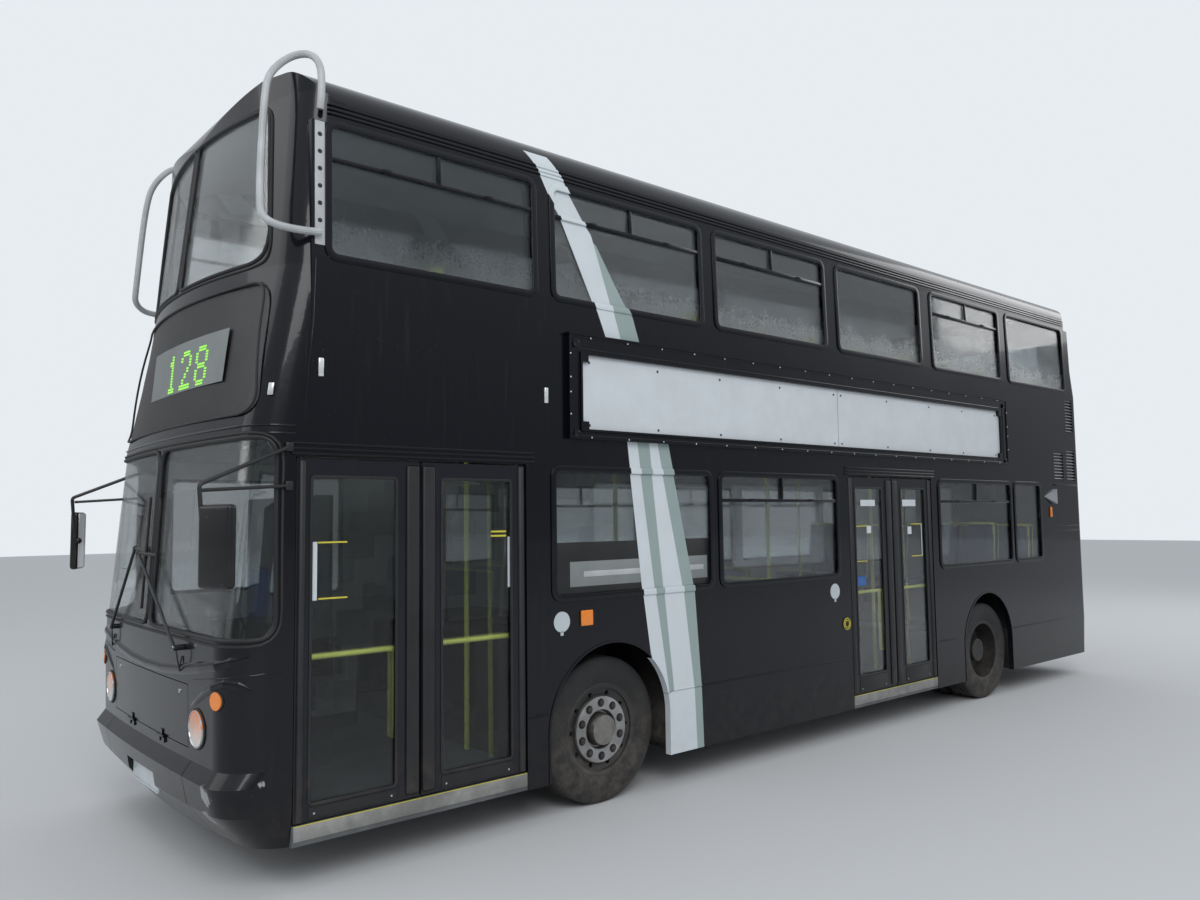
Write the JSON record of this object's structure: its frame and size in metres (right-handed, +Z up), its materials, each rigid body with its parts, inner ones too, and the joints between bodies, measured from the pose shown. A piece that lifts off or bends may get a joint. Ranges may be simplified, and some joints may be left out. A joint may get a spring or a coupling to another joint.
{
  "type": "double decker bus",
  "caption": "Low-floor double decker city bus with a two-leaf front door, a two-leaf exit door, twin rear wheels, steered front wheels and fitted saloons",
  "frame": {"origin": "on the ground under the middle of the bus", "axes": "+X forward, +Y to the left side with the doors, +Z up"},
  "size_m": [10.3158, 3.0578, 4.48],
  "materials": {
    "body_paint": "glossy black coach paint with white and grey bands, dusty low down",
    "door_frame": "black painted aluminium leaf with rubber edges",
    "window_glass": "tinted safety glass",
    "chassis_black": "black underbody coating",
    "engine_metal": "oily cast iron",
    "floor_vinyl": "flecked anti-slip floor covering",
    "advert_sheet": "bare white advert sheet",
    "black_trim": "black moulded plastic",
    "guard_tube": "pale grey painted tube",
    "lamp_lens": "moulded lamp lens",
    "seat_fabric": "blue seat fabric",
    "cab_trim": "dark grey cab moulding",
    "rail_yellow": "yellow powder coat",
    "wheel_paint": "black wheel paint with a bare metal stud ring and road dirt",
    "tyre_rubber": "worn black tyre"
  },
  "bodies": {
    "root": {"advert_board": "advert_sheet", "advert_frame": "body_paint", "axles": "chassis_black", "cab_fittings": "cab_trim", "chassis_frame": "chassis_black", "deck_bands": "body_paint", "destination_glass": "window_glass", "driver_seat": "seat_fabric", "engine": "engine_metal", "front_bumper": "body_paint", "front_moulding": "body_paint", "front_panel": "body_paint", "handrails": "rail_yellow", "lamps": "lamp_lens", "lower_floor": "floor_vinyl", "lower_panels": "body_paint", "mirrors": "black_trim", "passenger_seats": "seat_fabric", "rear_panel": "body_paint", "rear_window": "window_glass", "roof": "body_paint", "side_glass": "window_glass", "stairs": "floor_vinyl", "tanks": "chassis_black", "tree_guards": "guard_tube", "upper_floor": "floor_vinyl", "wheelhouses": "chassis_black", "window_frames": "body_paint", "window_pillars": "body_paint", "windscreen_frame": "body_paint", "windscreens": "window_glass", "wipers": "black_trim"},
    "front_flap": {"front_flap": "body_paint"},
    "engine_cover": {"engine_cover": "body_paint"},
    "steering_wheel": {"steering_wheel": "black_trim"},
    "front_leaf_a": {"front_leaf_a": "door_frame", "front_leaf_a_glass": "window_glass"},
    "front_leaf_b": {"front_leaf_b": "door_frame", "front_leaf_b_glass": "window_glass"},
    "exit_leaf_a": {"exit_leaf_a": "door_frame", "exit_leaf_a_glass": "window_glass"},
    "exit_leaf_b": {"exit_leaf_b": "door_frame", "exit_leaf_b_glass": "window_glass"},
    "knuckle_left": {"knuckle_left": "chassis_black"},
    "front_wheel_left": {"front_wheel_left": "wheel_paint", "front_tyre_left": "tyre_rubber"},
    "rear_wheels_left": {"rear_wheels_left": "wheel_paint", "rear_tyres_left": "tyre_rubber"},
    "knuckle_right": {"knuckle_right": "chassis_black"},
    "front_wheel_right": {"front_wheel_right": "wheel_paint", "front_tyre_right": "tyre_rubber"},
    "rear_wheels_right": {"rear_wheels_right": "wheel_paint", "rear_tyres_right": "tyre_rubber"}
  },
  "joints": [
    {"name": "steer_left", "type": "hinge", "parent": "root", "child": "knuckle_left", "pos_m": [2.52, 0.92, 0.478], "axis": [0, 0, 1], "range_deg": [-40, 40]},
    {"name": "steer_right", "type": "hinge", "parent": "root", "child": "knuckle_right", "pos_m": [2.52, -0.92, 0.478], "axis": [0, 0, 1], "range_deg": [-40, 40]},
    {"name": "steering_wheel_turn", "type": "hinge", "parent": "root", "child": "steering_wheel", "pos_m": [4.56, -0.71, 1.14], "axis": [-0.4226, 0, 0.9063], "range_deg": [-720, 720]},
    {"name": "front_roll_left", "type": "hinge", "parent": "knuckle_left", "child": "front_wheel_left", "pos_m": [2.52, 1.04, 0.478], "axis": [0, 1, 0], "continuous": true},
    {"name": "front_roll_right", "type": "hinge", "parent": "knuckle_right", "child": "front_wheel_right", "pos_m": [2.52, -1.04, 0.478], "axis": [0, 1, 0], "continuous": true},
    {"name": "rear_roll_left", "type": "hinge", "parent": "root", "child": "rear_wheels_left", "pos_m": [-2.63, 1.07, 0.478], "axis": [0, 1, 0], "continuous": true},
    {"name": "rear_roll_right", "type": "hinge", "parent": "root", "child": "rear_wheels_right", "pos_m": [-2.63, -1.07, 0.478], "axis": [0, 1, 0], "continuous": true},
    {"name": "front_door_a", "type": "hinge", "parent": "root", "child": "front_leaf_a", "pos_m": [4.649, 1.215, 1.28], "axis": [0, 0, 1], "range_deg": [0, 88]},
    {"name": "front_door_b", "type": "hinge", "parent": "root", "child": "front_leaf_b", "pos_m": [3.224, 1.215, 1.28], "axis": [0, 0, -1], "range_deg": [0, 88]},
    {"name": "exit_door_a", "type": "hinge", "parent": "root", "child": "exit_leaf_a", "pos_m": [-0.254, 1.215, 1.28], "axis": [0, 0, 1], "range_deg": [0, 88]},
    {"name": "exit_door_b", "type": "hinge", "parent": "root", "child": "exit_leaf_b", "pos_m": [-1.576, 1.215, 1.28], "axis": [0, 0, -1], "range_deg": [0, 88]},
    {"name": "flap_hinge", "type": "hinge", "parent": "root", "child": "front_flap", "pos_m": [5.03422, 0, 0.699], "axis": [0, 1, 0], "range_deg": [0, 90]},
    {"name": "cover_hinge", "type": "hinge", "parent": "root", "child": "engine_cover", "pos_m": [-5.11118, 0, 1.56], "axis": [0, 1, 0], "range_deg": [0, 75]}
  ],
  "couplings": [
    {"joint": "steer_right", "follows": "steer_left", "ratio": 1},
    {"joint": "steering_wheel_turn", "follows": "steer_left", "ratio": 18}
  ]
}
